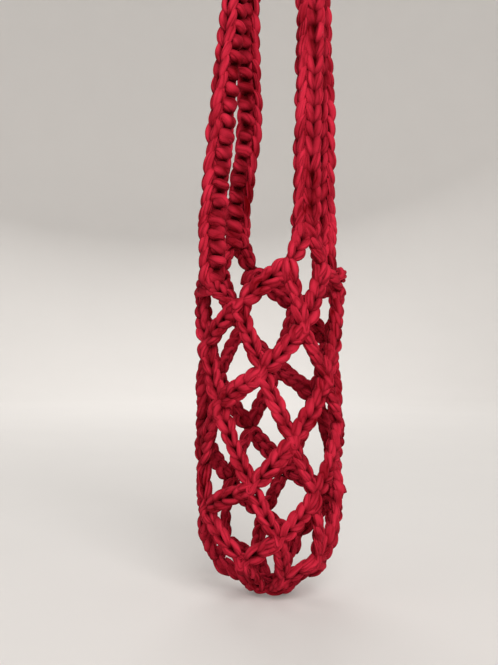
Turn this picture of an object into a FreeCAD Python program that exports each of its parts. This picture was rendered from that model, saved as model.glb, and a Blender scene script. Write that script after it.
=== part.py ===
"""A crocheted carrier: a net pouch of chain loops, a scalloped rim and two strap handles."""
import FreeCAD, Part
import math
import os

Vector = FreeCAD.Vector
UP = Vector(0, 0, 1)
ALONG = Vector(1, 0, 0)

# Driving dimensions, in millimetres and degrees. Heights count from the underside of the pouch,
# and angles run round the pouch from its front towards its right.
LOAD_RADIUS = 35.0        # clear inside of the pouch
LOAD_ROOM = 0.6           # air between the load and the chains
CHAIN_RADIUS = 4.4        # half the thickness of one crocheted chain
CHAIN_BOW = 0.8           # how far a chain bulges outwards halfway between its ends
CHAIN_GAP = 0.2           # air between a chain and what it is worked into
JOIN_RADIUS = 8.2         # slip-stitch lump where chains meet
BASE_RING_RADIUS = 11.0   # middle line of the starting ring under the load
BASE_CLEARANCE = 0.6      # air under the starting ring
BOWL_HEIGHT = 52.0        # where the straight side starts to close in to the base
BOWL_POWER = 2.2          # 2 is a round bowl, more is a flatter one
STRAP_WIDTH = 14.0        # across the strap, towards the other handle
STRAP_THICKNESS = 12.0    # from the strap's outer face to its inner face
STRAP_ROUNDING = 4.5      # rounded long edges of the strap
PIVOT_HEIGHT = 221.0      # the line of knots that a handle folds about
PIVOT_ANGLE = 45.0        # each knot, from the front or the back of the pouch
KNOT_RADIUS = 7.0         # the knot that a strap folds on
KNOT_LENGTH = 13.0
KNOT_ROUNDING = 2.0
NECK_ANGLE = 22.0         # half the taper of a strap where it meets its knot
FOOT_DROP = 35.0          # from a knot down to the low strap foot, where it is worked into the rim
CROWN_RADIUS = 21.5       # middle line of the handle where it bends over a hand or a hook
CROWN_RISE = 198.0        # from the knots to the middle of that bend, along the strap
CROWN_SHIFT = 7.5         # the straps lean this far to the right
CROWN_GAP = 4.0           # air between the two handles at the top
TAIL_KNOT_RADIUS = 4.2    # the tied end of the yarn, at the rim
TAIL_STUB_RADIUS = 3.0    # the trimmed end of the yarn, low on the net


def at(angle, steps):
    """A place on the net: its angle, and its height in steps, 221 of them up to the knots."""
    return angle, PIVOT_HEIGHT * steps / 221


# Joins of the net, three to each half turn. The second half repeats them.
# The first number of a round says which join of the round above its first loop hangs from.
ROUNDS = {
    2: (-1, [at(-50, 150), at(6, 135), at(65, 130)]),
    3: (0, [at(-33, 116), at(31, 95), at(95, 103)]),
    4: (0, [at(-2, 69), at(52, 63), at(118, 78)]),
    5: (-1, [at(-52, 54), at(19, 39), at(62, 25)]),
    6: (0, [at(-13, 26), at(28, 14), at(98, 18)]),
}
RIM_LOW = at(-13, 174)    # lowest join of the front scallop
FORK_JOIN = at(40, 160)   # join below the forked foot of a strap
SIDE_LOW = at(100, 184)   # lowest join of the side scallop
FORK_NEAR = at(28, 197)   # where the fork's loop leaves the front scallop
FORK_FAR = at(62, 196)    # where it leaves the side scallop
TAIL_KNOT = at(97, 193)   # place of the tied yarn end, on the side scallop's lowest join
TAIL_STUB = at(104, 64)   # place of the trimmed yarn end
HALF_TURN = 180

# Sizes that follow from those
NET_RADIUS = LOAD_RADIUS + LOAD_ROOM + CHAIN_RADIUS
BASE_HEIGHT = CHAIN_RADIUS + BASE_CLEARANCE
FOOT_HEIGHT = PIVOT_HEIGHT - FOOT_DROP
PIVOT_OUT = NET_RADIUS * math.cos(math.radians(PIVOT_ANGLE))
PIVOT_SIDE = NET_RADIUS * math.sin(math.radians(PIVOT_ANGLE))
CROWN_OUT = (STRAP_WIDTH + CROWN_GAP) / 2
LEAN = math.asin((PIVOT_OUT - CROWN_OUT) / (CROWN_RISE + CROWN_RADIUS))
GRIP_RISE = CROWN_RISE + CROWN_RADIUS - STRAP_THICKNESS / 2
CARRY_POINT = Vector(CROWN_SHIFT, 0, PIVOT_HEIGHT + GRIP_RISE * math.cos(LEAN))


def net_radius(height):
    """Middle line of the net: straight sides that close to a bowl below."""
    if height >= BOWL_HEIGHT:
        return NET_RADIUS
    depth = (BOWL_HEIGHT - height) / (BOWL_HEIGHT - BASE_HEIGHT)
    return NET_RADIUS * (1 - depth ** BOWL_POWER) ** (1 / BOWL_POWER)


def round_axis(angle, radius, height):
    """The point at an angle from the front, at a radius from the pouch's axis."""
    turn = math.radians(angle)
    return Vector(radius * math.sin(turn), -radius * math.cos(turn), height)


def on_net(place, proud=0.0):
    """A place on the net's middle line, or standing proud of it."""
    angle, height = place
    return round_axis(angle, net_radius(height) + proud, height)


def turned(place, half):
    """The same place on the first or second half of the pouch."""
    return place[0] + HALF_TURN * half, place[1]


def chain_path(start, end):
    """A chain between two places follows the net on one arc."""
    middle = ((start[0] + end[0]) / 2, (start[1] + end[1]) / 2)
    return Part.Arc(on_net(start), on_net(middle, CHAIN_BOW), on_net(end)).toShape()


def tube(path, radius):
    """A round bar along one arc."""
    first, last = path.ParameterRange
    disc = Part.Face(Part.Wire(Part.makeCircle(radius, path.valueAt(first), path.tangentAt(first))))
    return disc.revolve(path.Curve.Center, path.Curve.Axis, math.degrees(last - first))


def largest(shape):
    """The main solid of a cut, without crumbs."""
    return max(shape.Solids, key=lambda solid: solid.Volume)


def outward(place):
    """The way that the net faces at a place: level on the side, downwards on the bowl."""
    angle, height = place
    if height >= BOWL_HEIGHT:
        return round_axis(angle, 1, 0)
    slope = (net_radius(height + CHAIN_GAP) - net_radius(height - CHAIN_GAP)) / (2 * CHAIN_GAP)
    return round_axis(angle, 1, -slope).normalize()


def join(place):
    """A slip-stitch lump on the net, flat where it lies against the load."""
    flat = -math.degrees(math.asin((CHAIN_RADIUS + LOAD_ROOM) / JOIN_RADIUS))
    return Part.makeSphere(JOIN_RADIUS, on_net(place), outward(place), flat, 90)


def pivot(half, side):
    """Middle of a strap knot: half 0 is the front handle, side -1 is its left."""
    out = PIVOT_OUT if half else -PIVOT_OUT
    return Vector(side * PIVOT_SIDE, out, PIVOT_HEIGHT)


def across(centre, radius, length):
    """A bar through a knot, along the line that its handle folds about."""
    return Part.makeCylinder(radius, length, centre - ALONG * (length / 2), ALONG)


def strap_knot(centre):
    knot = across(centre, KNOT_RADIUS, KNOT_LENGTH)
    ends = [edge for edge in knot.Edges if isinstance(edge.Curve, Part.Circle)]
    return knot.makeFillet(KNOT_ROUNDING, ends)


def strap_section(centre, along, wide):
    """The strap's rounded section as a face, square to the strap, with its width along wide."""
    thick = along.cross(wide)
    flat_wide = STRAP_WIDTH / 2 - STRAP_ROUNDING
    flat_thick = STRAP_THICKNESS / 2 - STRAP_ROUNDING
    edges = []
    spots = []
    for turn in (0, 90, 180, 270):
        spin = math.radians(turn)
        one = wide * math.cos(spin) + thick * math.sin(spin)
        two = thick * math.cos(spin) - wide * math.sin(spin)
        reach, side = (flat_wide, flat_thick) if turn % 180 == 0 else (flat_thick, flat_wide)
        corner = centre + one * reach + two * side
        arc = [corner + one * STRAP_ROUNDING, corner + (one + two).normalize() * STRAP_ROUNDING]
        arc.append(corner + two * STRAP_ROUNDING)
        edges.append(Part.Arc(*arc).toShape())
        spots.append((arc[0], arc[2]))
    for (_, leave), (arrive, _) in zip(spots, spots[1:] + spots[:1]):
        edges.append(Part.makeLine(leave, arrive))
    return Part.Face(Part.Wire(Part.__sortEdges__(edges)))


def neck_cutters(centre, along):
    """Two wedges that taper a strap to its knot, so that it can fold down past level."""
    outward = ALONG.cross(along)
    reach = STRAP_WIDTH
    cutters = []
    for side in (-1, 1):
        points = [
            centre,
            centre + outward * (side * reach),
            centre + outward * (side * reach) + along * (reach / math.tan(math.radians(NECK_ANGLE))),
        ]
        wedge = Part.Face(Part.makePolygon(points + points[:1]))
        wedge.translate(-ALONG * STRAP_WIDTH)
        cutters.append(wedge.extrude(ALONG * (2 * STRAP_WIDTH)))
    return cutters


def seated_on_knot(strap, centre, along):
    """A strap's end tapered and hollowed to lie on its knot."""
    hollow = across(centre, KNOT_RADIUS + CHAIN_GAP, 2 * STRAP_WIDTH)
    return largest(strap.cut([hollow] + neck_cutters(centre, along)))


def handle(half):
    """One strap: up from a knot, over the crown and down to the other knot, leaning inwards."""
    inward = -1 if half else 1
    rise = Vector(0, inward * math.sin(LEAN), math.cos(LEAN))
    wide = ALONG.cross(rise)
    crown = Vector(CROWN_SHIFT, pivot(half, 1).y, PIVOT_HEIGHT) + rise * CROWN_RISE
    bars = []
    leave = {}
    bend = math.pi
    for side in (-1, 1):
        knot = pivot(half, side)
        reach = crown - knot
        # The strap leaves the crown's circle where it points straight at the knot.
        slant = math.atan2(reach.dot(ALONG) * side, reach.dot(rise))
        slant += math.asin(CROWN_RADIUS / reach.Length)
        leave[side] = crown + (ALONG * (side * math.cos(slant)) - rise * math.sin(slant)) * CROWN_RADIUS
        bend += slant
        run = leave[side] - knot
        bars.append(strap_section(knot, Vector(run).normalize(), wide).extrude(run))
    start = strap_section(leave[1], wide.cross(leave[1] - crown).normalize(), wide)
    bars.append(start.revolve(crown, wide, math.degrees(bend)))
    strap = bars[0].multiFuse(bars[1:]).removeSplitter()
    for side in (-1, 1):
        strap = seated_on_knot(strap, pivot(half, side), rise)
    return strap


class Strand:
    """One chain between two lumps, with the lumps that trim its ends."""

    def __init__(self, start, end, trims):
        self.path = chain_path(start, end)
        self.ends = (self.path.Vertexes[0].Point, self.path.Vertexes[-1].Point)
        self.solid = largest(tube(self.path, CHAIN_RADIUS).cut(trims))

    def leaves(self, end):
        """Where the path comes out of the lump at its first or last end."""
        bounds = self.path.ParameterRange
        step = min(JOIN_RADIUS, KNOT_RADIUS) / self.path.Curve.Radius
        return self.path.valueAt(bounds[end] + (-step if end else step))

    def crowds(self, other):
        """Whether two chains leave one lump so close together that they touch outside it."""
        return any(
            self.ends[a].isEqual(other.ends[b], CHAIN_GAP)
            and (self.leaves(a) - other.leaves(b)).Length < 2 * CHAIN_RADIUS + CHAIN_GAP
            for a in (0, 1)
            for b in (0, 1)
        )

    def make_room(self, other):
        """Trim this chain where another from the same lump lies too close."""
        self.solid = largest(self.solid.cut(tube(other.path, CHAIN_RADIUS + CHAIN_GAP)))


def join_room(place):
    """A join with the air that chains keep from it."""
    return Part.makeSphere(JOIN_RADIUS + CHAIN_GAP, on_net(place))


def knot_room(half, side):
    return across(pivot(half, side), KNOT_RADIUS + CHAIN_GAP, 2 * KNOT_LENGTH)


def ring_room():
    return Part.makeTorus(BASE_RING_RADIUS, CHAIN_RADIUS + CHAIN_GAP, Vector(0, 0, BASE_HEIGHT))


strands = {}


def chain(node, start, end, trims=None):
    """Add a chain to a node. It ends at joins unless other trims are given."""
    ends = [join_room(start), join_room(end)] if trims is None else trims
    strand = Strand(start, end, ends)
    for others in strands.values():
        for other in others:
            if strand.crowds(other):
                strand.make_room(other)
    strands.setdefault(node, []).append(strand)


def wide_turn(places):
    """Three places and their repeats on the second half."""
    return places + [turned(place, 1) for place in places]


def upper(places, index):
    """A join of the round above, counting on round the pouch."""
    turns, rest = divmod(index, len(places))
    angle, height = places[rest]
    return angle + 2 * HALF_TURN * turns, height


pieces = {}

# The rim: two scallops and a forked foot to each half turn
RIM_SIDES = (("front", "right"), ("back", "left"))
for half, (main, side) in enumerate(RIM_SIDES):
    foot = turned((-PIVOT_ANGLE, FOOT_HEIGHT), half)
    next_foot = turned((HALF_TURN - PIVOT_ANGLE, FOOT_HEIGHT), half)
    fork = turned((PIVOT_ANGLE, PIVOT_HEIGHT), half)
    low, near, far, side_low, fork_join = (
        turned(place, half) for place in (RIM_LOW, FORK_NEAR, FORK_FAR, SIDE_LOW, FORK_JOIN)
    )
    fork_knot = knot_room(half, -1 if half else 1)
    chain(f"rim_scallop_{main}", foot, low)
    chain(f"rim_scallop_{main}", low, near)
    chain(f"rim_scallop_{main}", near, fork, [join_room(near), fork_knot])
    chain(f"rim_scallop_{side}", fork, far, [join_room(far), fork_knot])
    chain(f"rim_scallop_{side}", far, side_low)
    chain(f"rim_scallop_{side}", side_low, next_foot)
    chain(f"fork_loop_{main}", near, fork_join)
    chain(f"fork_loop_{main}", fork_join, far)

# The net: rounds of loops, each hanging from two joins of the round above
above = wide_turn([RIM_LOW, FORK_JOIN, SIDE_LOW])
pieces["round_1_joins"] = Part.makeCompound([join(place) for place in above])
for number, (first, places) in ROUNDS.items():
    joins = wide_turn(places)
    for index, place in enumerate(joins):
        node = f"net_loop_{number}_{index + 1}"
        chain(node, upper(above, index + first), place)
        chain(node, place, upper(above, index + first + 1))
    pieces[f"round_{number}_joins"] = Part.makeCompound([join(place) for place in joins])
    above = joins

# The base: spokes from the lowest joins to the starting ring
pieces["base_ring"] = Part.makeTorus(BASE_RING_RADIUS, CHAIN_RADIUS, Vector(0, 0, BASE_HEIGHT))
spokes = []
for place in above:
    outer = on_net(place)
    inner = round_axis(place[0], BASE_RING_RADIUS, BASE_HEIGHT)
    spoke = Part.makeCylinder(CHAIN_RADIUS, (outer - inner).Length, inner, outer - inner)
    spoke = spoke.cut([join_room(place), ring_room()])
    for strand in (strand for others in strands.values() for strand in others):
        if any(end.isEqual(outer, CHAIN_GAP) for end in strand.ends):
            spoke = spoke.cut(tube(strand.path, CHAIN_RADIUS + CHAIN_GAP))
    spokes.append(largest(spoke))
pieces["base_spokes"] = Part.makeCompound(spokes)

for node, members in strands.items():
    pieces[node] = Part.makeCompound([strand.solid for strand in members])

# Joins on the rim: both ends of each fork loop, and the low feet of the straps
rim_places = wide_turn([FORK_NEAR, FORK_FAR, (-PIVOT_ANGLE, FOOT_HEIGHT)])
pieces["rim_joins"] = Part.makeCompound([join(place) for place in rim_places])

# The straps: knots that they fold on, the two low feet, and the handles
CORNERS = {(0, -1): "left_front", (0, 1): "right_front", (1, -1): "left_back", (1, 1): "right_back"}
for (half, side), corner in CORNERS.items():
    pieces[f"strap_knot_{corner}"] = strap_knot(pivot(half, side))
    if (half, side) in ((0, -1), (1, 1)):
        knot = pivot(half, side)
        foot = Vector(knot.x, knot.y, FOOT_HEIGHT)
        bar = strap_section(foot, UP, ALONG.cross(UP)).extrude(knot - foot)
        place = turned((-PIVOT_ANGLE, FOOT_HEIGHT), half)
        bar = seated_on_knot(bar.cut(join_room(place)), knot, -UP)
        pieces[f"strap_foot_{corner}"] = bar
pieces["front_handle"] = handle(0)
pieces["back_handle"] = handle(1)

# The two yarn ends
every_chain = [strand for others in strands.values() for strand in others]
for node, place, radius in (
    ("yarn_end_knot", TAIL_KNOT, TAIL_KNOT_RADIUS),
    ("yarn_end_stub", TAIL_STUB, TAIL_STUB_RADIUS),
):
    centre = on_net(place, CHAIN_RADIUS + CHAIN_GAP + CHAIN_BOW)
    lump = largest(Part.makeSphere(radius, centre).cut(join_room(SIDE_LOW)))
    for strand in every_chain:
        if strand.solid.BoundBox.intersect(lump.BoundBox):
            lump = largest(lump.cut(tube(strand.path, CHAIN_RADIUS + CHAIN_GAP)))
    pieces[node] = lump

os.makedirs("parts", exist_ok=True)
for node, shape in pieces.items():
    shape.translate(-CARRY_POINT)
    shape.exportStep(f"parts/{node}.step")
    sound = shape.isValid() and all(solid.isClosed() for solid in shape.Solids)
    print(f"{node}: {len(shape.Solids)} solids, {shape.Volume:.0f} mm3, {'sound' if sound else 'BROKEN'}")
print("carry point above the underside:", round(CARRY_POINT.z, 2), "lean:", round(math.degrees(LEAN), 2))
for half in (0, 1):
    print("fold line through", [round(value, 3) for value in pivot(half, -1) - CARRY_POINT])
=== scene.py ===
# %% [markdown]
# A crocheted carrier: a pouch of open net and two strap handles, all worked from one chunky yarn.
# The yarn is a strip cut from jersey cloth that has rolled itself into a soft tube.
# The imported model is loaded first and stays fixed. Its solids could be dressed with a bump pattern,
# but crochet is open and deep, so every piece below is yarn laid along the route of a solid. It hides
# that solid, and the pouch's pieces move with the pouch's body. Lengths are in metres.

# %% Load the frame
import math
import random

import bpy
from mathutils import Matrix, Vector
from mathutils.kdtree import KDTree


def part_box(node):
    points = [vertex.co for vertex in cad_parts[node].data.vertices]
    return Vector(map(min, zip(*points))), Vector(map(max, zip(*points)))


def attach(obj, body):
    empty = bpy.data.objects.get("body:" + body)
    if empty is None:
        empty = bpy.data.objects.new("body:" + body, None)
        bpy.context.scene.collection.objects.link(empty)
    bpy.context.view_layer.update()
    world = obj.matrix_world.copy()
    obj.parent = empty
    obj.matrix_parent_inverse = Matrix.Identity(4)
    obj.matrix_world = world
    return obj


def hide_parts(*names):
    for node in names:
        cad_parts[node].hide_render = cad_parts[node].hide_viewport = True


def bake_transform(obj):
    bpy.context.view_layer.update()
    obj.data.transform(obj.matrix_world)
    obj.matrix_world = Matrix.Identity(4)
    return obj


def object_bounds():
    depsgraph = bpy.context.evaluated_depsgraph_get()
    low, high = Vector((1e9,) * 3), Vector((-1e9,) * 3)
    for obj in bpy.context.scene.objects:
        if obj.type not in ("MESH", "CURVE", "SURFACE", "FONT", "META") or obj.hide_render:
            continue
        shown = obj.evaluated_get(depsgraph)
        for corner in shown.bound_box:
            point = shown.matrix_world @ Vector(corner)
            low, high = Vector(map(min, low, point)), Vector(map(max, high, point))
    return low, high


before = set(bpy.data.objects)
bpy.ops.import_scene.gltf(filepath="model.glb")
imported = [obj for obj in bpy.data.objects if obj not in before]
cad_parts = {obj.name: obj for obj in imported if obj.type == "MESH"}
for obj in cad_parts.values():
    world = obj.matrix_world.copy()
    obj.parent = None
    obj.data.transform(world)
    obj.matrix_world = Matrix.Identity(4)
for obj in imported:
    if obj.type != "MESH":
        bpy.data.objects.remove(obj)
CAD_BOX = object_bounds()
bpy.ops.object.select_all(action="DESELECT")

# %% [markdown]
# The pouch was worked round an upright axis. Its places could be written as x, y and z, but on a
# round thing a turn from the front and a height above the underside are easier to read and to
# change, so small functions make points from those two. The model's origin is the point where both
# handles hang, high above the pouch and a little to one side of its axis.

# %% Places on the pouch
ORIGIN = Vector((0.0075, 0.0, 0.433674))
NET_RADIUS = 0.040
BASE_HEIGHT = 0.005
BOWL_HEIGHT = 0.052
BOWL_POWER = 2.2
TURN_STEP = 1.0
HEIGHT_STEP = 0.001


def ring_radius(height):
    """Give the net's radius at a height: straight sides over a rounded bowl."""
    if height >= BOWL_HEIGHT:
        return NET_RADIUS
    depth = min(1.0, (BOWL_HEIGHT - height) / (BOWL_HEIGHT - BASE_HEIGHT))
    return NET_RADIUS * (1.0 - depth ** BOWL_POWER) ** (1.0 / BOWL_POWER)


def around(angle, radius, height):
    """Turn cylinder coordinates (degrees from the front, metres) into a point of the model."""
    turn = math.radians(angle)
    return Vector((radius * math.sin(turn), -radius * math.cos(turn), height)) - ORIGIN


def on_net(place, proud=0.0):
    """Give the point of the net's surface at a place, or standing proud of it."""
    angle, height = place
    return around(angle, ring_radius(height) + proud, height)


def outward(place):
    """Give the net's outward normal at a place."""
    angle, height = place
    sideways = on_net((angle + TURN_STEP, height)) - on_net((angle - TURN_STEP, height))
    below = max(BASE_HEIGHT, height - HEIGHT_STEP)
    rising = on_net((angle, height + HEIGHT_STEP)) - on_net((angle, below))
    return sideways.cross(rising).normalized()


def listed(place):
    """Give a place of the listed half of the pouch as it is."""
    return place


def half_turn(place):
    """Give the same place on the other side of the axis."""
    return (place[0] + 180.0, place[1])


print("net radius:", NET_RADIUS, "half way up the bowl:", round(ring_radius(BOWL_HEIGHT / 2.0), 4))

# %% [markdown]
# The photograph looks at the pouch nearly level, from a little to the right of its front. A camera
# could be aimed at a target, but then it tips up or down and the straps lean together. This one is
# placed at a given point and kept level, and its lens is chosen so that the picture's height of 665
# pixels spans the same stretch of the object.

# %% Camera
VIEW_ANGLE = 14.0
VIEW_DISTANCE = 0.600
VIEW_HEIGHT = 0.158
VIEW_SHIFT = -0.0126
VIEW_LENS = 53.25
NEAREST_SEEN = 0.01
LEVEL = math.radians(90.0)

view_turn = math.radians(VIEW_ANGLE)
view_right = Vector((math.cos(view_turn), math.sin(view_turn), 0.0))
camera_data = bpy.data.cameras.new("photo_camera")
camera_data.lens = VIEW_LENS
camera_data.clip_start = NEAREST_SEEN
camera = bpy.data.objects.new("photo_camera", camera_data)
camera.location = around(VIEW_ANGLE, VIEW_DISTANCE, VIEW_HEIGHT) + view_right * VIEW_SHIFT
camera.rotation_euler = (LEVEL, 0.0, view_turn)
bpy.context.collection.objects.link(camera)
bpy.context.scene.camera = camera
bpy.context.scene.view_settings.view_transform = "Standard"
print("camera at", [round(v, 4) for v in camera.location])

# %% [markdown]
# Matt red yarn shows its roundness only under soft light from one side. Even light alone would
# flatten it, and a small lamp would draw hard shadows. So a large lamp stands at the upper right, a
# much weaker one fills from the left, a third lights the back, and the world adds a low even light.
# The camera sees the world paler than it shines, so the background stays pale from every side.

# %% Lights
LAMPS = {
    "key": ((0.90, -1.75, 1.05), 1.30, 49.0),
    "fill": ((-1.15, -0.90, 0.50), 1.10, 1.6),
    "rim": ((-0.64, 1.71, 0.85), 1.30, 20.0),
}
POUCH_MIDDLE = around(0.0, 0.0, 0.15)
for lamp_name, (place, size, power) in LAMPS.items():
    lamp_data = bpy.data.lights.new(lamp_name, "AREA")
    lamp_data.size = size
    lamp_data.energy = power
    lamp = bpy.data.objects.new(lamp_name, lamp_data)
    lamp.location = place
    lamp.rotation_euler = (POUCH_MIDDLE - Vector(place)).to_track_quat("-Z", "Y").to_euler()
    bpy.context.collection.objects.link(lamp)
print("lamps:", sorted(LAMPS))

# %% World
ROOM_LIGHT = 0.26
ROOM_SEEN = 0.62
ROOM_COLOUR = (1.0, 0.97, 0.93, 1.0)
world = bpy.data.worlds.new("soft_room")
world.use_nodes = True
room = world.node_tree.nodes["Background"]
room.inputs["Color"].default_value = ROOM_COLOUR
rays = world.node_tree.nodes.new("ShaderNodeLightPath")
seen = world.node_tree.nodes.new("ShaderNodeMapRange")
seen.inputs["To Min"].default_value = ROOM_LIGHT
seen.inputs["To Max"].default_value = ROOM_SEEN
world.node_tree.links.new(rays.outputs["Is Camera Ray"], seen.inputs["Value"])
world.node_tree.links.new(seen.outputs["Result"], room.inputs["Strength"])
bpy.context.scene.world = world
print("world light", ROOM_LIGHT, "seen as", ROOM_SEEN)

# %% [markdown]
# The carrier is shown over plain pale paper. A flat floor with an upright backdrop would show a line
# between them, so the paper curves up all round and has no line from any side. A disc's rim is
# extruded upwards, and a bevel rounds the fold. The camera sees the paper a little paler than the
# lamps light it, which keeps the shadow on it soft and the lamps low.

# %% Material: pale paper
PAPER_COLOUR = (0.60, 0.575, 0.55)
PAPER_ROUGHNESS = 0.9
MOTTLE_SCALE = 9.0
MOTTLE_SHADE = 0.97
SEEN_GLOW = 0.26


def paper_material():
    """Make the paper's material: one pale colour with a faint mottle."""
    material = bpy.data.materials.new("pale_paper")
    material.use_nodes = True
    nodes = material.node_tree.nodes
    links = material.node_tree.links
    shader = nodes["Principled BSDF"]
    shader.inputs["Roughness"].default_value = PAPER_ROUGHNESS
    place = nodes.new("ShaderNodeTexCoord")
    mottle = nodes.new("ShaderNodeTexNoise")
    mottle.inputs["Scale"].default_value = MOTTLE_SCALE
    ramp = nodes.new("ShaderNodeValToRGB")
    ramp.color_ramp.elements[0].color = [c * MOTTLE_SHADE for c in PAPER_COLOUR] + [1.0]
    ramp.color_ramp.elements[1].color = list(PAPER_COLOUR) + [1.0]
    rays = nodes.new("ShaderNodeLightPath")
    glow = nodes.new("ShaderNodeMath")
    glow.operation = "MULTIPLY"
    glow.inputs[1].default_value = SEEN_GLOW
    links.new(place.outputs["Object"], mottle.inputs["Vector"])
    links.new(mottle.outputs["Fac"], ramp.inputs["Fac"])
    links.new(ramp.outputs["Color"], shader.inputs["Base Color"])
    links.new(ramp.outputs["Color"], shader.inputs["Emission Color"])
    links.new(rays.outputs["Is Camera Ray"], glow.inputs[0])
    links.new(glow.outputs["Value"], shader.inputs["Emission Strength"])
    return material


PAPER = paper_material()
print("material:", PAPER.name)

# %% Floor and backdrop
FLOOR_RADIUS = 2.4
FLOOR_SIDES = 96
FLOOR_GAP = 0.0015
FLOOR_Z = CAD_BOX[0][2] - FLOOR_GAP
SWEEP_HEIGHT = 1.5
FOLD_WIDTH = 0.7
FOLD_STEPS = 24

bpy.ops.mesh.primitive_circle_add(
    vertices=FLOOR_SIDES, radius=FLOOR_RADIUS, fill_type="NGON", location=(0.0, 0.0, FLOOR_Z)
)
sweep = bpy.context.object
sweep.name = "paper_sweep"
bpy.ops.object.mode_set(mode="EDIT")
bpy.ops.mesh.select_mode(type="EDGE")
bpy.ops.mesh.select_all(action="SELECT")
bpy.ops.mesh.region_to_loop()
bpy.ops.mesh.extrude_edges_move(TRANSFORM_OT_translate={"value": (0.0, 0.0, SWEEP_HEIGHT)})
bpy.ops.mesh.select_all(action="SELECT")
bpy.ops.mesh.normals_make_consistent(inside=True)
bpy.ops.object.mode_set(mode="OBJECT")
fold = sweep.modifiers.new("fold", "BEVEL")
fold.width = FOLD_WIDTH
fold.segments = FOLD_STEPS
bpy.ops.object.modifier_apply(modifier="fold")
bpy.ops.object.shade_smooth()
bpy.ops.object.transform_apply(location=True, rotation=True, scale=True)
sweep.data.materials.append(PAPER)
sweep.select_set(False)
print("floor at", round(FLOOR_Z, 4))

# %% [markdown]
# Jersey yarn is a rolled strip of fine knit: matt, with long soft creases, a faint rib along its
# length and a lighter colour where it is stretched. A pattern fixed in space would cut across the
# strands, so the material reads each strand's own UV map: x runs once round the strand, y is metres
# along it. Noise on a circle (cosine, sine, length) has no seam where x starts again. Creases and
# ribs are one node group. It puts out a height for the bump and a crease shade for the colour, which
# is painted shade that darkens the creases.

# %% Node group: creases of rolled jersey
NOISE_PER_METRE = 90.0
FOLD_DETAIL = 1.0
FOLD_ROUGHNESS = 0.6
CREASE_GAIN = 4.0
CREASE_POWER = 0.6
RIB_WANDER = 5.0
RIB_HEIGHT = 0.05


def jersey_creases():
    """Build the node group that turns a strand's UV map into a height and a painted crease shade."""
    group = bpy.data.node_groups.new("jersey_creases", "ShaderNodeTree")
    group.interface.new_socket("Strand", in_out="INPUT", socket_type="NodeSocketVector")
    group.interface.new_socket("Creases", in_out="INPUT", socket_type="NodeSocketFloat")
    group.interface.new_socket("Ribs", in_out="INPUT", socket_type="NodeSocketFloat")
    group.interface.new_socket("Height", in_out="OUTPUT", socket_type="NodeSocketFloat")
    group.interface.new_socket("Crease Shade", in_out="OUTPUT", socket_type="NodeSocketFloat")
    nodes = group.nodes
    links = group.links
    source = nodes.new("NodeGroupInput")
    result = nodes.new("NodeGroupOutput")
    parts = nodes.new("ShaderNodeSeparateXYZ")
    links.new(source.outputs["Strand"], parts.inputs["Vector"])

    def math_node(operation, first, second=None):
        node = nodes.new("ShaderNodeMath")
        node.operation = operation
        for socket, value in zip(node.inputs, (first, second)):
            if isinstance(value, (int, float)):
                socket.default_value = value
            elif value is not None:
                links.new(value, socket)
        return node.outputs["Value"]

    turn = math_node("MULTIPLY", parts.outputs["X"], 2.0 * math.pi)
    circle = nodes.new("ShaderNodeCombineXYZ")
    links.new(math_node("COSINE", turn), circle.inputs["X"])
    links.new(math_node("SINE", turn), circle.inputs["Y"])
    links.new(math_node("MULTIPLY", parts.outputs["Y"], NOISE_PER_METRE), circle.inputs["Z"])
    folds = nodes.new("ShaderNodeTexNoise")
    folds.inputs["Detail"].default_value = FOLD_DETAIL
    folds.inputs["Roughness"].default_value = FOLD_ROUGHNESS
    links.new(circle.outputs["Vector"], folds.inputs["Vector"])
    links.new(source.outputs["Creases"], folds.inputs["Scale"])
    ridge = math_node("ABSOLUTE", math_node("SUBTRACT", folds.outputs["Fac"], 0.5))
    crease = math_node("POWER", math_node("MULTIPLY", ridge, CREASE_GAIN), CREASE_POWER)
    wander = math_node("MULTIPLY", folds.outputs["Fac"], RIB_WANDER)
    rib_turn = math_node("ADD", math_node("MULTIPLY", turn, source.outputs["Ribs"]), wander)
    rib = math_node("MULTIPLY", math_node("SINE", rib_turn), RIB_HEIGHT)
    links.new(math_node("ADD", crease, rib), result.inputs["Height"])
    # Painted shade: the crease valleys give a low value, which darkens the colour.
    links.new(math_node("MINIMUM", crease, 1.0), result.inputs["Crease Shade"])
    return group


JERSEY_CREASES = jersey_creases()
print("node group:", JERSEY_CREASES.name)

# %% [markdown]
# The cloth is one red, clearer on its rounds, with slow patches from the dyeing, and its creases get
# painted shade. Yarn that is tucked deep into a stitch looks almost black, because little light gets
# there. Soft studio light alone leaves it too pale, so the dark there is painted shade. Every strand
# carries an attribute named lift, 0 at the core of its stitch and 1 at its outside, and by it the
# material mixes a painted shade red into the cloth's colour. The lift belongs to the yarn, so the
# painted shade stays where it is from every side.

# %% Material: red jersey yarn
# The first red is painted shade deep in a stitch. The second is painted shade in the creases together
# with the darker dye patches. The third is the cloth's clear red.
PAINTED_SHADE_RED = (0.055, 0.0, 0.0004, 1.0)
CREASE_SHADE_AND_PATCH_RED = (0.140, 0.0004, 0.002, 1.0)
CLEAR_RED = (0.585, 0.0215, 0.049, 1.0)
DEEP_TONE = 0.35
CLEAR_TONE = 0.95
JERSEY_FINISH = {
    "Roughness": 0.88,
    "Specular IOR Level": 0.03,
    "Sheen Weight": 0.02,
    "Sheen Roughness": 0.45,
    "Sheen Tint": (1.0, 0.30, 0.36, 1.0),
}
CREASE_SCALE = 0.62
RIB_COUNT = 22.0
PATCH_SCALE = 60.0
CREASE_SHARE = 0.50
BUMP_STRENGTH = 0.75
BUMP_DEPTH = 0.0011


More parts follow.
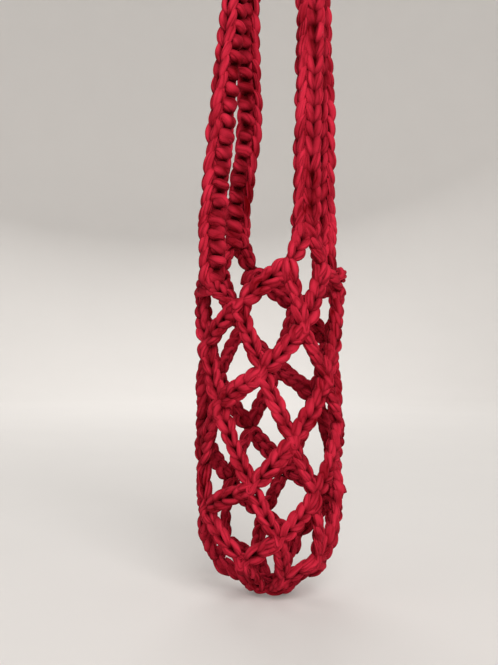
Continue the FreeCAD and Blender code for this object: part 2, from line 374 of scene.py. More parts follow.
def jersey_material():
    """Make the yarn's material: red cloth with painted shade in its creases and deep in its stitches,
    and a soft sheen.
    """
    material = bpy.data.materials.new("red_jersey_yarn")
    material.use_nodes = True
    nodes = material.node_tree.nodes
    links = material.node_tree.links
    shader = nodes["Principled BSDF"]
    for socket, value in JERSEY_FINISH.items():
        shader.inputs[socket].default_value = value
    strand = nodes.new("ShaderNodeUVMap")
    strand.uv_map = "UVMap"
    creases = nodes.new("ShaderNodeGroup")
    creases.node_tree = JERSEY_CREASES
    creases.inputs["Creases"].default_value = CREASE_SCALE
    creases.inputs["Ribs"].default_value = RIB_COUNT
    links.new(strand.outputs["UV"], creases.inputs["Strand"])
    place = nodes.new("ShaderNodeTexCoord")
    patches = nodes.new("ShaderNodeTexNoise")
    patches.inputs["Scale"].default_value = PATCH_SCALE
    links.new(place.outputs["Object"], patches.inputs["Vector"])
    # Painted shade in the creases, plus the dye's random patches, picks the red from the ramp.
    crease_shade_and_patches = nodes.new("ShaderNodeMath")
    crease_shade_and_patches.operation = "MULTIPLY_ADD"
    crease_shade_and_patches.inputs[1].default_value = CREASE_SHARE
    links.new(creases.outputs["Crease Shade"], crease_shade_and_patches.inputs[0])
    links.new(patches.outputs["Fac"], crease_shade_and_patches.inputs[2])
    ramp = nodes.new("ShaderNodeValToRGB")
    ramp.color_ramp.elements[0].position = DEEP_TONE
    ramp.color_ramp.elements[0].color = CREASE_SHADE_AND_PATCH_RED
    ramp.color_ramp.elements[1].position = CLEAR_TONE
    ramp.color_ramp.elements[1].color = CLEAR_RED
    links.new(crease_shade_and_patches.outputs["Value"], ramp.inputs["Fac"])
    lift = nodes.new("ShaderNodeAttribute")
    lift.attribute_name = "lift"
    # Painted shade: where the lift is low, the colour is mixed towards the painted shade red.
    painted_shade_mix = nodes.new("ShaderNodeMix")
    painted_shade_mix.data_type = "RGBA"
    colour_in = [socket for socket in painted_shade_mix.inputs if socket.type == "RGBA"]
    colour_out = [socket for socket in painted_shade_mix.outputs if socket.type == "RGBA"]
    colour_in[0].default_value = PAINTED_SHADE_RED
    links.new(lift.outputs["Fac"], painted_shade_mix.inputs["Factor"])
    links.new(ramp.outputs["Color"], colour_in[1])
    links.new(colour_out[0], shader.inputs["Base Color"])
    bump = nodes.new("ShaderNodeBump")
    bump.inputs["Strength"].default_value = BUMP_STRENGTH
    bump.inputs["Distance"].default_value = BUMP_DEPTH
    links.new(creases.outputs["Height"], bump.inputs["Height"])
    links.new(bump.outputs["Normal"], shader.inputs["Normal"])
    return material


JERSEY = jersey_material()
print("material:", JERSEY.name)

# %% [markdown]
# The rolled strip is never quite round: it has flats and two deep folds where its edges tuck in. A
# plain round bevel would look like rubber cord. So the outline is drawn once as a closed curve, and
# every strand is a spline that has this outline as its bevel object. The flats are slow waves round
# the outline, and each tuck is a narrow dent in it.

# %% Outline of the yarn
YARN_RADIUS = 0.00235
YARN_SIDES = 16
MEAN_REACH = 1.03
FLATS = [(2.0, 0.0, 0.09), (3.0, 0.9, 0.05)]
TUCKS = [(-1.1, 0.24), (1.7, 0.18)]
TUCK_POWER = 10

outline_data = bpy.data.curves.new("yarn_outline", "CURVE")
outline_data.dimensions = "2D"
outline = outline_data.splines.new("POLY")
outline.points.add(YARN_SIDES - 1)
for index, point in enumerate(outline.points):
    turn = -2.0 * math.pi * index / YARN_SIDES
    reach = MEAN_REACH
    for waves, shift, height in FLATS:
        reach += height * math.cos(waves * turn + shift)
    for shift, deep in TUCKS:
        reach -= deep * max(0.0, math.cos(turn + shift)) ** TUCK_POWER
    reach *= YARN_RADIUS
    point.co = (reach * math.cos(turn), reach * math.sin(turn), 0.0, 1.0)
outline.use_cyclic_u = True
yarn_outline = bpy.data.objects.new("yarn_outline", outline_data)
bpy.context.collection.objects.link(yarn_outline)
print("yarn outline points:", len(outline.points))

# %% [markdown]
# A strand of yarn bends smoothly and is squeezed where others hold it. It could be a row of short
# tubes, but their ends would show. A NURBS spline passes smoothly by its points, and each point
# has a radius, which makes the strand plump or pinched, and a tilt, which turns its folds. The
# spline is then converted to a mesh, because the UV map and the lift are written to mesh points.

# %% Lay one strand of yarn
STRAND_ORDER = 3
STRAND_STEPS = 3


def lay_strand(points, lift):
    """Make one strand as a mesh from (place, radius factor, tilt) points, with UVs in metres.

    lift tells from a place how far the yarn there stands out of its stitch, from 0 to 1; a low lift
    gets painted shade.
    """
    data = bpy.data.curves.new("strand", "CURVE")
    data.dimensions = "3D"
    data.bevel_mode = "OBJECT"
    data.bevel_object = yarn_outline
    data.use_fill_caps = True
    spline = data.splines.new("NURBS")
    spline.points.add(len(points) - 1)
    for point, (place, radius, tilt) in zip(spline.points, points):
        point.co = (*place, 1.0)
        point.radius = radius
        point.tilt = tilt
    spline.order_u = STRAND_ORDER
    spline.use_endpoint_u = True
    spline.resolution_u = STRAND_STEPS
    length = spline.calc_length()
    strand = bpy.data.objects.new("strand", data)
    bpy.context.collection.objects.link(strand)
    bpy.ops.object.select_all(action="DESELECT")
    strand.select_set(True)
    bpy.context.view_layer.objects.active = strand
    bpy.ops.object.convert(target="MESH")
    for corner in strand.data.uv_layers["UVMap"].data:
        along, turn = corner.uv
        corner.uv = (turn, along * length)
    lifts = strand.data.attributes.new("lift", "FLOAT", "POINT")
    lifts.data.foreach_set("value", [lift(vertex.co) for vertex in strand.data.vertices])
    return strand


print("rings of mesh for each point of a strand:", STRAND_STEPS)

# %% [markdown]
# A loop, a join or a handle is several strands that belong together. They could stay apart, but one
# solid is replaced by one piece, so they are joined into one object. Merging doubles closes the
# ends of each strand, and the normals are turned outwards after that.

# %% Join strands into a piece
MERGE_DISTANCE = 0.00001


def finish_piece(name, strands, body, node):
    """Join strands into one closed piece that stands for its solid. With no body, it is left
    unattached.
    """
    bpy.ops.object.select_all(action="DESELECT")
    for strand in strands:
        strand.select_set(True)
    piece = strands[0]
    bpy.context.view_layer.objects.active = piece
    if len(strands) > 1:
        bpy.ops.object.join()
    piece.name = name
    piece.data.name = name
    bpy.ops.object.mode_set(mode="EDIT")
    bpy.ops.mesh.select_all(action="SELECT")
    bpy.ops.mesh.remove_doubles(threshold=MERGE_DISTANCE)
    bpy.ops.mesh.normals_make_consistent(inside=False)
    bpy.ops.object.mode_set(mode="OBJECT")
    bpy.ops.object.shade_smooth()
    piece.data.materials.clear()
    piece.data.materials.append(JERSEY)
    piece.select_set(False)
    if body:
        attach(piece, body)
    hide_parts(node)
    return piece


# %% [markdown]
# A crocheted chain is one yarn pulled through itself again and again. From outside, each stitch is
# a V of two plump leaves that open upwards, its tip held by the stitch before. Behind, the yarn runs
# on as a small bump. A twisted rope would be quicker, but it shows no Vs. So one stitch is written
# as points (how far along the chain, across it and out of it, and how plump) and repeated along a
# route. Each stitch gets its own small differences, as handwork has, from dice with a fixed seed.

# %% One chain stitch
STITCH = [
    (0.00, -0.14, 0.00, 0.78),
    (0.28, -0.50, 0.72, 1.02),
    (0.64, -0.90, 0.64, 1.14),
    (1.06, -1.00, 0.16, 1.08),
    (1.40, -0.62, -0.36, 0.92),
    (1.44, 0.00, -0.50, 0.80),
    (1.40, 0.62, -0.36, 0.92),
    (1.06, 1.00, 0.16, 1.08),
    (0.64, 0.90, 0.64, 1.14),
    (0.28, 0.50, 0.72, 1.02),
    (0.00, 0.14, 0.00, 0.78),
    (0.15, 0.10, -0.80, 0.92),
    (0.50, 0.00, -1.05, 1.00),
    (0.85, -0.06, -0.80, 0.92),
]
V_POINTS = 11
STITCH_LENGTH = 0.0074
STITCH_HALF_WIDTH = 0.0034
STITCH_DEPTH = 0.0022
FIRST_TILT = 6.0
TILT_SPREAD = 0.22
ROLL_SPREAD = 7.0
WIDTH_SPREAD = 0.06
FAT_SPREAD = 0.04
LEAN_SPREAD = 0.05
dice = random.Random(7)


def chain_stitches(route, length, plump, pitch, stitch):
    """Work a chain along a route, which gives place, direction and outward normal at a length."""
    count = max(2, round(length / pitch))
    step = length / count
    points = []
    tilt = dice.uniform(0.0, FIRST_TILT)
    for index in range(count):
        roll = math.radians(dice.gauss(0.0, ROLL_SPREAD))
        wide = plump * dice.gauss(1.0, WIDTH_SPREAD)
        fat = plump * dice.gauss(1.0, FAT_SPREAD)
        lean = dice.gauss(0.0, LEAN_SPREAD)
        for along, across, out, radius in stitch:
            place, direction, normal = route((index + along + lean * across) * step)
            normal = Matrix.Rotation(roll, 3, direction) @ normal
            side = normal.cross(direction)
            place = place + side * across * STITCH_HALF_WIDTH * wide
            place = place + normal * out * STITCH_DEPTH * plump
            tilt += dice.gauss(0.0, TILT_SPREAD)
            points.append((place, radius * fat, tilt))
    return points


print("points in a stitch:", len(STITCH), "of them in its V:", V_POINTS)

# %% [markdown]
# The lift of a chain's yarn is its distance from the chain's core, a line through the middle of its
# stitches, and it sets the painted shade deep in the chain. It could be painted by hand on each mesh,
# but a search tree of points along the core finds that distance for every strand in the same way. A
# band has two cores, one in its V face and one in its bumps.

# %% Lay one chain
CORE_STEP = 0.0015
LIFT_LOW = 0.0014
LIFT_HIGH = 0.0044


def route_lift(route, length, plump, cores):
    """Give the lift of a chain's yarn, the mask of its painted shade: 0 near its core lines, 1 at its
    outer side.
    """
    count = 2 + round(length / CORE_STEP)
    middle = KDTree(count * len(cores))
    for index in range(count):
        place, direction, normal = route(length * index / (count - 1))
        for core in cores:
            middle.insert(place + normal * core, index)
    middle.balance()

    def lift(place):
        reach = middle.find(place)[2] / plump
        return min(1.0, max(0.0, (reach - LIFT_LOW) / (LIFT_HIGH - LIFT_LOW)))

    return lift


def lay_chain(route, length, plump, pitch=STITCH_LENGTH, stitch=STITCH, cores=(0.0,)):
    """Lay one chain of stitches along a route."""
    points = chain_stitches(route, length, plump, pitch, stitch)
    return lay_strand(points, route_lift(route, length, plump, cores))


# %% [markdown]
# The net's chains lie on the pouch's round side, bowed out a little between their joins. Low on the
# pouch the yarn is pulled thinner. Of the two chains that rise from a join, the one that leans to
# the right shows its Vs openly and is fuller, and the other is rolled a little on its side. All
# chains could be alike, but then the net looks like a printed pattern.

# %% One chain of the net
NET_BOW = 0.0008
JOIN_MARGIN = 0.0035
MEASURE_STEPS = 20
SHARE_STEP = 0.01
LOW_PLUMP = 0.84
HIGH_PLUMP = 0.94
FULL_PLUMP_HEIGHT = 0.170
OPEN_PLUMP = 1.12
SIDE_ROLL = math.radians(32.0)


def net_route(start, end, roll):
    """Give a chain's route over the net between two places, and its length between the margins."""
    angle_step = end[0] - start[0]
    height_step = end[1] - start[1]

    def place_at(share):
        return (start[0] + angle_step * share, start[1] + height_step * share)

    def point_at(share):
        return on_net(place_at(share), NET_BOW * 4.0 * share * (1.0 - share))

    marks = [point_at(index / MEASURE_STEPS) for index in range(MEASURE_STEPS + 1)]
    whole = sum((after - before).length for before, after in zip(marks, marks[1:]))

    def route(distance):
        share = (distance + JOIN_MARGIN) / whole
        ahead = point_at(share + SHARE_STEP) - point_at(share - SHARE_STEP)
        direction = ahead.normalized()
        normal = outward(place_at(share))
        normal = (normal - direction * normal.dot(direction)).normalized()
        return point_at(share), direction, Matrix.Rotation(roll, 3, direction) @ normal

    return route, whole - 2.0 * JOIN_MARGIN


def net_plump(height):
    """Give how plump the yarn is at a height: it is pulled thinner low on the pouch."""
    return LOW_PLUMP + (HIGH_PLUMP - LOW_PLUMP) * min(1.0, height / FULL_PLUMP_HEIGHT)


def net_chain(start, end):
    """Lay one chain of the net, worked upwards from its lower end."""
    if end[1] < start[1]:
        start, end = end, start
    plump = net_plump((start[1] + end[1]) / 2.0)
    if end[0] > start[0]:
        plump *= OPEN_PLUMP
        roll = 0.0
    else:
        roll = SIDE_ROLL
    route, length = net_route(start, end, roll)
    return lay_chain(route, length, plump)


print("yarn plumpness from", net_plump(0.0), "low down to", net_plump(FULL_PLUMP_HEIGHT))

# %% [markdown]
# The net has six rounds of loops, and each loop dips from two joins of the round above to a join of
# its own. An even grid would be shorter to write. The real heights are uneven, because the work was
# pulled by hand, so each join has its own turn and height, taken from the photograph. Half of the
# pouch is listed, and the other half is the same turned round. The places at the rim come first.
# LEFT_LEG says how far the join that holds a loop's left leg is numbered from the loop's own join.

# %% Joins of the net
RIM_LOW = (-13.0, 0.174)
FORK_JOIN = (40.0, 0.160)
SIDE_LOW = (100.0, 0.184)
FORK_NEAR = (28.0, 0.197)
FORK_FAR = (62.0, 0.196)
FOOT = (-45.0, 0.186)
FORK = (45.0, 0.221)
ROUNDS = {
    2: [(-50.0, 0.150), (6.0, 0.135), (65.0, 0.130)],
    3: [(-33.0, 0.116), (31.0, 0.095), (95.0, 0.103)],
    4: [(-2.0, 0.069), (52.0, 0.063), (118.0, 0.078)],
    5: [(-52.0, 0.054), (19.0, 0.039), (62.0, 0.025)],
    6: [(-13.0, 0.026), (28.0, 0.014), (98.0, 0.018)],
}
LEFT_LEG = {2: -1, 3: 0, 4: 0, 5: -1, 6: 0}
JOINS_IN_ROUND = 6


def whole_round(half):
    """Add the places of the far half to a round's listed half."""
    return list(half) + [half_turn(place) for place in half]


JOINS = {1: whole_round([RIM_LOW, FORK_JOIN, SIDE_LOW])}
for number, half in ROUNDS.items():
    JOINS[number] = whole_round(half)
print("joins:", sum(len(places) for places in JOINS.values()))

# %% Net loops
def nearest_turn(place, other):
    """Give a place's angle the turn that lies closest to another place's angle."""
    angle, height = place
    while angle - other[0] > 180.0:
        angle -= 360.0
    while angle - other[0] < -180.0:
        angle += 360.0
    return (angle, height)


def legs_above(number, index):
    """Give the left and right joins of the round above from which a loop hangs."""
    above = JOINS[number - 1]
    left = index + LEFT_LEG[number]
    return above[left % JOINS_IN_ROUND], above[(left + 1) % JOINS_IN_ROUND]


loop_pieces = []
for number in ROUNDS:
    for index, place in enumerate(JOINS[number]):
        legs = [nearest_turn(leg, place) for leg in legs_above(number, index)]
        strands = [net_chain(place, leg) for leg in legs]
        node = f"net_loop_{number}_{index + 1}"
        loop_pieces.append(finish_piece(f"{node}_yarn", strands, "pouch", node))
print("net loops:", len(loop_pieces))

# %% [markdown]
# The rim hangs in four scallops between the straps' feet. At two corners a strap forks, and a short
# loop hangs under each fork. A rim could be one closed ring, but its chains rise and dip at every
# foot, so each scallop is laid as its own run of the same chains as the net's.

# %% Rim scallops and fork loops
rim_pieces = []
for main, side, turned in (("front", "right", listed), ("back", "left", half_turn)):
    foot, low, near, fork = turned(FOOT), turned(RIM_LOW), turned(FORK_NEAR), turned(FORK)
    far, side_low, loop_low = turned(FORK_FAR), turned(SIDE_LOW), turned(FORK_JOIN)
    next_foot = half_turn(foot)
    front_run = [net_chain(low, foot), net_chain(low, near), net_chain(near, fork)]
    side_run = [net_chain(far, fork), net_chain(side_low, far), net_chain(side_low, next_foot)]
    loop_run = [net_chain(loop_low, near), net_chain(loop_low, far)]
    for node, strands in (
        (f"rim_scallop_{main}", front_run),
        (f"rim_scallop_{side}", side_run),
        (f"fork_loop_{main}", loop_run),
    ):
        rim_pieces.append(finish_piece(f"{node}_yarn", strands, "pouch", node))
print("rim pieces:", [piece.name for piece in rim_pieces])

# %% [markdown]
# A join is a slip stitch. The loop's own yarn turns round its low point in a fat cup, and the chain
# that arrives from below hooks over the cup with two plump lobes. A ball at each crossing would
# hide the chains' ends too, but it looks like a bead. So both turns are short strands. Their points
# are in yarn radii, along the directions in which the chains leave the join.

# %% Turns of yarn at a join
TURN_FAT_SPREAD = 0.05
TURN_TILT = 0.1
TURN_TILT_SPREAD = 0.1
TURN_LIFT = 0.45
TURN_LIFT_RADII = 4.0


def way_to(place, other):
    """Give the direction on the net from one place towards another."""
    normal = outward(place)
    way = on_net(other) - on_net(place)
    return (way - normal * way.dot(normal)).normalized()


def turn_strand(place, points):
    """Lay a short turn of yarn at a join from (offset in yarn radii, plumpness) points."""
    fat = net_plump(place[1]) * dice.gauss(1.0, TURN_FAT_SPREAD)
    tilt = dice.uniform(0.0, FIRST_TILT)
    middle = on_net(place)
    laid = []
    for offset, radius in points:
        laid.append((middle + offset * YARN_RADIUS * fat, radius * fat, tilt))
        tilt += dice.gauss(TURN_TILT, TURN_TILT_SPREAD)
    normal = outward(place)

    # Painted shade: the lower a turn lies in its join, the lower its lift and the darker it is
    # painted.
    def lift(point):
        stands = (point - middle).dot(normal) / (TURN_LIFT_RADII * YARN_RADIUS)
        return min(1.0, max(0.0, TURN_LIFT + stands))

    return lay_strand(laid, lift)


# %% Cup and hook of a join
CUP_LEG = [
    (3.6, 0.0, 0.1, 0.80),
    (2.1, 0.1, 0.8, 1.00),
    (0.9, 0.7, 1.5, 1.08),
]
CUP_LOW = (1.2, 1.8, 1.10)
HOOK_LOBE = [
    (-4.4, 0.80, 0.2, 0.85),
    (-2.8, 1.00, 1.2, 1.08),
    (-1.2, 1.00, 1.7, 1.18),
    (0.3, 0.80, 0.9, 1.05),
]
HOOK_TIP = (1.2, -0.2, 0.85)
HOOK_SPREAD = 8.0


def cup_strand(place, left, right):
    """Lay the cup in which a loop turns from one of its legs to the other."""
    normal = outward(place)
    legs = [way_to(place, left), way_to(place, right)]
    down = -(legs[0] + legs[1]).normalized()
    low, out, radius = CUP_LOW
    points = [(legs[0] * a + down * d + normal * n, r) for a, d, n, r in CUP_LEG]
    points.append((down * low + normal * out, radius))
    points += [(legs[1] * a + down * d + normal * n, r) for a, d, n, r in reversed(CUP_LEG)]
    return turn_strand(place, points)


def hook_strand(place, source):
    """Lay the two lobes with which an arriving chain hooks over a cup."""
    normal = outward(place)
    sway = Matrix.Rotation(math.radians(dice.gauss(0.0, HOOK_SPREAD)), 3, normal)
    ahead = sway @ -way_to(place, source)
    side = normal.cross(ahead)
    tip, out, radius = HOOK_TIP
    points = [(ahead * a - side * s + normal * n, r) for a, s, n, r in HOOK_LOBE]
    points.append((ahead * tip + normal * out, radius))
    points += [(ahead * a + side * s + normal * n, r) for a, s, n, r in reversed(HOOK_LOBE)]
    return turn_strand(place, points)


print("points in a cup:", 2 * len(CUP_LEG) + 1, "in a hook:", 2 * len(HOOK_LOBE) + 1)

# %% [markdown]
# Every join needs to know its two legs, which go up, and the source of the chain that hooks into
# it from below. Both could be listed by hand for each join. They follow from the order of the
# rounds, so only the rim's are listed.

# %% Joins of the rounds
rim_legs = [(FOOT, FORK_NEAR), (FORK_NEAR, FORK_FAR), (FORK_FAR, half_turn(FOOT))]
LEGS = {1: rim_legs + [tuple(half_turn(place) for place in legs) for legs in rim_legs]}
SOURCES = {6: [(place[0], BASE_HEIGHT) for place in JOINS[6]]}
for number in ROUNDS:
    below = JOINS[number]
    behind = LEFT_LEG[number] + 1
    LEGS[number] = [legs_above(number, index) for index in range(JOINS_IN_ROUND)]
    SOURCES[number - 1] = [below[(i - behind) % JOINS_IN_ROUND] for i in range(JOINS_IN_ROUND)]

for number, places in JOINS.items():
    strands = []
    for place, legs, source in zip(places, LEGS[number], SOURCES[number]):
        strands += [cup_strand(place, *legs), hook_strand(place, source)]
    finish_piece(f"round_{number}_joins_yarn", strands, "pouch", f"round_{number}_joins")
print("join pieces of the rounds:", len(JOINS))

# %% Joins of the rim
strap_above = (FOOT[0], FORK[1])
side_before = (SIDE_LOW[0] - 180.0, SIDE_LOW[1])
strands = []
for turned in (listed, half_turn):
    strands.append(hook_strand(turned(FORK_NEAR), turned(FORK_JOIN)))
    strands.append(hook_strand(turned(FORK_FAR), turned(FORK_JOIN)))
    strands.append(cup_strand(turned(FOOT), turned(side_before), turned(RIM_LOW)))
    strands.append(hook_strand(turned(FOOT), turned(strap_above)))
finish_piece("rim_joins_yarn", strands, "pouch", "rim_joins")
print("turns at the rim:", len(strands))

# %% [markdown]
# The work began with a ring of chain stitches under the middle of the pouch, and six short chains
# leave it for the lowest joins. A flat disc would close the bottom too, but crochet starts from a
# ring and stays open there. Ring and spokes are the same stitches, with their V side turned down.

# %% Starting ring and spokes
BASE_RING_RADIUS = 0.011
RING_PLUMP = 0.85
SPOKE_PLUMP = 0.9
DOWNWARD = Vector((0.0, 0.0, -1.0))
ring_middle = around(0.0, 0.0, BASE_HEIGHT)


def ring_route(distance):
    """Give the starting ring's route, with its V side turned down."""
    turn = distance / BASE_RING_RADIUS
    spoke = Vector((math.sin(turn), -math.cos(turn), 0.0))
    direction = Vector((math.cos(turn), math.sin(turn), 0.0))
    return ring_middle + spoke * BASE_RING_RADIUS, direction, DOWNWARD


def straight_route(start, end, normal):
    """Give a straight route between two points, with one outward normal."""
    direction = (end - start).normalized()
    normal = (normal - direction * normal.dot(direction)).normalized()
    return lambda distance: (start + direction * distance, direction, normal)


ring_strand = lay_chain(ring_route, 2.0 * math.pi * BASE_RING_RADIUS, RING_PLUMP)
finish_piece("base_ring_yarn", [ring_strand], "pouch", "base_ring")
strands = []
for place in JOINS[6]:
    start = around(place[0], BASE_RING_RADIUS, BASE_HEIGHT)
    end = on_net(place)
    route = straight_route(start, end, DOWNWARD)
    strands.append(lay_chain(route, (end - start).length, SPOKE_PLUMP))
finish_piece("base_spokes_yarn", strands, "pouch", "base_spokes")
print("base: ring and", len(strands), "spokes")

# %% [markdown]
# A handle is a strap that rises from one knot, bends over at the crown and comes down to the other.
# It could be drawn as a free curve. Two straight legs and an arc, in a plane that leans inwards,
# are the route of its solid, and a few lengths describe them. Both legs are twisted the same way,
# so from the front the right leg shows its Vs and the left leg its bumps. On one leg the twist is
# let go only near the crown, on the other all along it, and one leg at the back hangs in a bow.

# %% Sizes of a handle
PIVOT_HEIGHT = 0.221
PIVOT_REACH = 0.028284
CROWN_RADIUS = 0.0215
CROWN_RISE = 0.198
CROWN_OUT = 0.009
CROWN_X = 0.0075
BAND_TWIST = math.radians(-68.0)
TWIST_RUN = 0.070
TWIST_RELEASE = 0.165
FAR_LEG_BOW = 0.0045
BOW_RUN = 0.140
LEAN = math.asin((PIVOT_REACH - CROWN_OUT) / (CROWN_RISE + CROWN_RADIUS))
RIGHTWARD = Vector((1.0, 0.0, 0.0))
UPWARD = Vector((0.0, 0.0, 1.0))


def knot_point(side, depth):
    """Give the middle of a strap's knot: side is -1 left or 1 right, depth -1 front or 1 back."""
    return Vector((side * PIVOT_REACH, depth * PIVOT_REACH, PIVOT_HEIGHT)) - ORIGIN


def smooth(share):
    """Ease from 0 to 1."""
    share = min(1.0, max(0.0, share))
    return share * share * (3.0 - 2.0 * share)


print("handles lean inwards by", round(math.degrees(LEAN), 2), "degrees")

# %% Route of a handle
def handle_route(depth):
    """Give a handle's route from its forked foot over the crown to its plain foot, and its length."""
    first = -depth
    rise = Vector((0.0, -depth * math.sin(LEAN), math.cos(LEAN)))
    crown = Vector((CROWN_X, depth * PIVOT_REACH, PIVOT_HEIGHT)) - ORIGIN + rise * CROWN_RISE
    leaves = {}
    slants = {}
    for side in (-1, 1):
        reach = crown - knot_point(side, depth)
        slants[side] = math.atan2(reach.dot(RIGHTWARD) * side, reach.dot(rise))
        slants[side] += math.asin(CROWN_RADIUS / reach.length)
        spread = RIGHTWARD * (side * math.cos(slants[side])) - rise * math.sin(slants[side])
        leaves[side] = crown + spread * CROWN_RADIUS
    leg = {side: (leaves[side] - knot_point(side, depth)).length for side in (-1, 1)}
    bend = math.pi + slants[-1] + slants[1]
    arc = bend * CROWN_RADIUS

    def on_leg(side, climbed):
        climb = (leaves[side] - knot_point(side, depth)).normalized()
        normal = RIGHTWARD * side
        normal = (normal - climb * normal.dot(climb)).normalized()
        place = knot_point(side, depth) + climb * climbed
        if side == first:
            released = smooth(1.0 - (leg[side] - climbed) / TWIST_RUN)
        else:
            released = smooth(climbed / TWIST_RELEASE)
        if side == first and depth > 0:
            bow = math.sin(math.pi * min(1.0, max(0.0, climbed / BOW_RUN))) ** 2
            place = place - normal * (FAR_LEG_BOW * bow)
        twist = BAND_TWIST * (1.0 - released)
        return place, climb, Matrix.Rotation(twist, 3, UPWARD) @ normal

    def route(distance):
        if distance < leg[first]:
            return on_leg(first, distance)
        if distance > leg[first] + arc:
            place, climb, normal = on_leg(-first, leg[first] + arc + leg[-first] - distance)
            return place, -climb, normal
        turn = (distance - leg[first]) / CROWN_RADIUS - slants[first]
        normal = RIGHTWARD * (first * math.cos(turn)) + rise * math.sin(turn)
        direction = rise * math.cos(turn) - RIGHTWARD * (first * math.sin(turn))
        return crown + normal * CROWN_RADIUS, direction, normal

    return route, leg[first] + arc + leg[-first]


print("handle from knot to knot:", round(handle_route(-1)[1], 4))

# %% [markdown]
# A strap is a band of two columns of fatter stitches. The first shows Vs on its face, and behind
# them a row of fat round bumps that lie across it. The second runs along the edge and is turned
# sideways, so that from either side one of its rows of leaves is seen. A flat ribbon with a
# pattern would look thin at its edges, so both columns are laid as chains beside each other.

# %% Columns of a band
BAND_PITCH = 0.0098
FACE_SHIFT = -0.0022
FACE_PLUMP = 1.04
EDGE_SHIFT = 0.0044
EDGE_ROLL = math.radians(-84.0)
EDGE_PLUMP = 0.92
BAND_CORES = (0.0009, -0.0037)
V_CLOSE = 0.86
V_FULL = 1.08
BUMP = [
    (0.12, 0.55, -0.20, 0.85),
    (0.36, 0.66, -0.70, 1.35),
    (0.44, 0.34, -1.35, 1.72),
    (0.50, 0.00, -1.50, 1.80),
    (0.56, -0.34, -1.35, 1.72),
    (0.64, -0.66, -0.70, 1.35),
    (0.30, -0.55, -0.20, 0.85),
    (0.30, -0.20, -0.15, 0.75),
    (0.75, -0.10, -0.10, 0.75),
]
BAND_STITCH = [
    (along, across * V_CLOSE, out, radius * V_FULL)
    for along, across, out, radius in STITCH[:V_POINTS]
]
BAND_STITCH += BUMP


def beside(route, shift, roll):
    """Give a route that runs beside another, shifted across the band and rolled."""

    def moved(distance):
        place, direction, normal = route(distance)
        side = normal.cross(direction)
        return place + side * shift, direction, Matrix.Rotation(roll, 3, direction) @ normal

    return moved


def band_columns(route, hand):
    """Give the routes of a band's two columns: its V face and its sideways edge."""
    face = beside(route, FACE_SHIFT * hand, 0.0)
    edge = beside(route, EDGE_SHIFT * hand, EDGE_ROLL * hand)
    return face, edge


def band_strands(route, length, hand):
    """Work a band: a column of V stitches, and along its edge a second column turned sideways.

    hand is 1 or -1 and tells on which side of the work the second column lies.
    """
    face, edge = band_columns(route, hand)
    return [
        lay_chain(face, length, FACE_PLUMP, BAND_PITCH, BAND_STITCH, BAND_CORES),
        lay_chain(edge, length, EDGE_PLUMP, BAND_PITCH),
    ]


print("points in a band stitch:", len(BAND_STITCH))

# %% [markdown]
# On both front straps the Vs open upwards, so each strap was worked up from its foot. One run from
# foot to foot would turn the Vs of one leg upside down. So a handle is two runs that meet at the
# crown, where one slip stitch in each column closes the gap.

# %% Closing stitch at the crown
CLOSING = [
    (-0.95, -0.30, 0.80),
    (-0.55, 0.55, 1.05),
    (0.00, 0.85, 1.15),
    (0.55, 0.55, 1.05),
    (0.95, -0.30, 0.80),
]
CLOSING_TILT = 0.5
# A closing stitch has one lift, so a little painted shade all over.
CLOSING_LIFT = 0.75


def backwards(route, length):
    """Give a route that runs from another route's end to its start."""

    def turned_round(distance):
        place, direction, normal = route(length - distance)
        return place, -direction, normal

    return turned_round


def closing_stitch(route, distance, plump):
    """Lay the slip stitch that fills the gap where two runs of a column meet."""
    place, direction, normal = route(distance)
    side = normal.cross(direction)
    points = []
    for across, out, radius in CLOSING:
        offset = side * across * STITCH_HALF_WIDTH + normal * out * STITCH_DEPTH
        points.append((place + offset * plump, radius * plump, CLOSING_TILT))
    return lay_strand(points, lambda point: CLOSING_LIFT)


print("points in a closing stitch:", len(CLOSING))

# %% Handles
for name, depth in (("front", -1), ("back", 1)):
    route, length = handle_route(depth)
    strands = band_strands(route, length / 2.0, 1)
    strands += band_strands(backwards(route, length), length / 2.0, -1)
    for column, plump in zip(band_columns(route, 1), (FACE_PLUMP, EDGE_PLUMP)):
        strands.append(closing_stitch(column, length / 2.0, plump))
    band = finish_piece(f"{name}_handle_yarn", strands, None, f"{name}_handle")
    middle = (knot_point(-1, depth) + knot_point(1, depth)) / 2.0
    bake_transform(band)
    print(band.name, "length", round(length, 4), "faces", len(band.data.polygons))

# %% [markdown]
# Where a strap meets the rim, its stitches run on through the place where it folds: two more stitches
# at each fork, and a short band down to the rim at each plain foot. They could be part of the
# handle's piece, but they stay with the pouch. The knots end just above the fold.

# %% Strap knots and feet
KNOT_DROP = 0.0085
KNOT_RISE = 0.0035
FOOT_DROP = PIVOT_HEIGHT - FOOT[1]


def foot_route(start, side):
    """Give a straight upright route with the band's twisted normal."""
    normal = Matrix.Rotation(BAND_TWIST, 3, UPWARD) @ (RIGHTWARD * side)
    return straight_route(start, start + UPWARD, normal)


foot_pieces = []
for depth, depth_name in ((-1, "front"), (1, "back")):
    for side, side_name in ((-1, "left"), (1, "right")):
        middle = knot_point(side, depth)
        hand = -1 if side == depth else 1
        runs = [("strap_knot", KNOT_DROP, KNOT_DROP + KNOT_RISE)]
        if side == depth:
            runs.append(("strap_foot", FOOT_DROP, FOOT_DROP))
        for kind, drop, length in runs:
            node = f"{kind}_{side_name}_{depth_name}"
            strands = band_strands(foot_route(middle - UPWARD * drop, side), length, hand)
            foot_pieces.append(finish_piece(f"{node}_yarn", strands, "pouch", node))
print("strap knots and feet:", len(foot_pieces))

# %% [markdown]
# The yarn's last end is tied off in a small round knot at the right of the rim. A ball would be the
# right size, but a tied end shows its turns. So the knot is the yarn's tail: it leaves the rim's
# chain, and it is wound round itself in a tight coil of nearly three turns, a little wider in its
# middle.

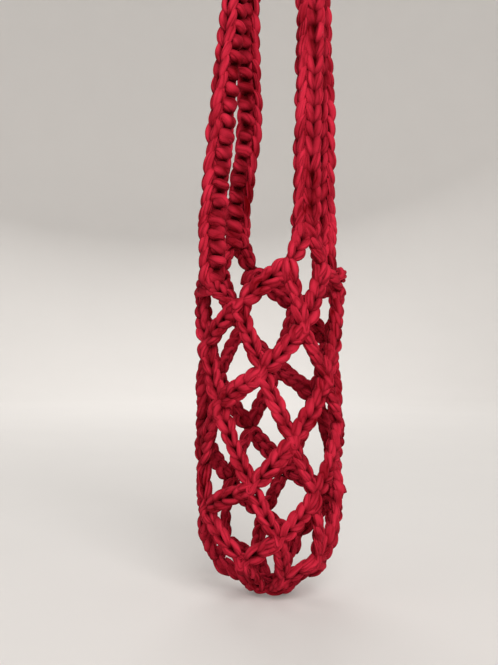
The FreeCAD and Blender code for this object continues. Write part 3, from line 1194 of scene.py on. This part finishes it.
# %% Tied yarn end
TIE_TAIL = [
    ((78.0, 0.1900), 0.0005, 0.60),
    ((84.0, 0.1895), 0.0030, 0.72),
    ((90.0, 0.1920), 0.0050, 0.80),
]
TIE_SHIFT = 0.0022
TIE_TURNS = 2.7
TIE_STEPS = 26
TIE_COIL = 0.0021
TIE_NARROW = 0.80
TIE_BULGE = 0.30
TIE_TALL = 0.0066
TIE_FAT = 0.66
TIE_TILT = 0.2
TIE_TILT_STEP = 0.1
TIE_CLEAR = 0.0046

tie_low, tie_high = (Vector(corner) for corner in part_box("yarn_end_knot"))
tie_middle = (tie_low + tie_high) / 2.0 - RIGHTWARD * TIE_SHIFT
points = [(on_net(place, proud), radius, TIE_TILT) for place, proud, radius in TIE_TAIL]
for index in range(TIE_STEPS):
    share = index / (TIE_STEPS - 1)
    turn = 2.0 * math.pi * TIE_TURNS * share
    reach = TIE_COIL * (TIE_NARROW + TIE_BULGE * math.sin(math.pi * share))
    coil = Vector((-math.sin(turn), -math.cos(turn), 0.0)) * reach
    place = tie_middle + coil + UPWARD * TIE_TALL * (0.5 - share)
    points.append((place, TIE_FAT, TIE_TILT + TIE_TILT_STEP * index))
# Painted shade: the coil is darker towards its middle, by its lift.
tie_strand = lay_strand(points, lambda place: (place - tie_middle).length / TIE_CLEAR)
finish_piece("yarn_end_knot_yarn", [tie_strand], "pouch", "yarn_end_knot")
print("tied end at", [round(v, 4) for v in tie_middle + ORIGIN])

# %% [markdown]
# An older end of yarn is trimmed short low on the side of the pouch. It could be a straight peg, but
# soft yarn droops, so it is a strand of four points that comes out of the net and bends down.

# %% Trimmed yarn end
STUB_PLACE = (104.0, 0.064)
STUB_BEND = [
    (-0.0020, 0.0020, 0.85),
    (0.0020, 0.0015, 0.95),
    (0.0042, -0.0005, 1.00),
    (0.0050, -0.0040, 0.95),
]
STUB_TILT = 0.4
# The stub has one lift, so a little painted shade all over.
STUB_LIFT = 0.8

stub_low, stub_high = (Vector(corner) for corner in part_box("yarn_end_stub"))
print("stub box", [round(v, 4) for v in stub_low], [round(v, 4) for v in stub_high])
points = []
for proud, rise, radius in STUB_BEND:
    points.append((on_net(STUB_PLACE, proud) + UPWARD * rise, radius, STUB_TILT))
stub_strand = lay_strand(points, lambda place: STUB_LIFT)
finish_piece("yarn_end_stub_yarn", [stub_strand], "pouch", "yarn_end_stub")

# %% [markdown]
# The outline was only a tool for the strands and is removed.

# %% Remove the outline
bpy.data.objects.remove(yarn_outline)
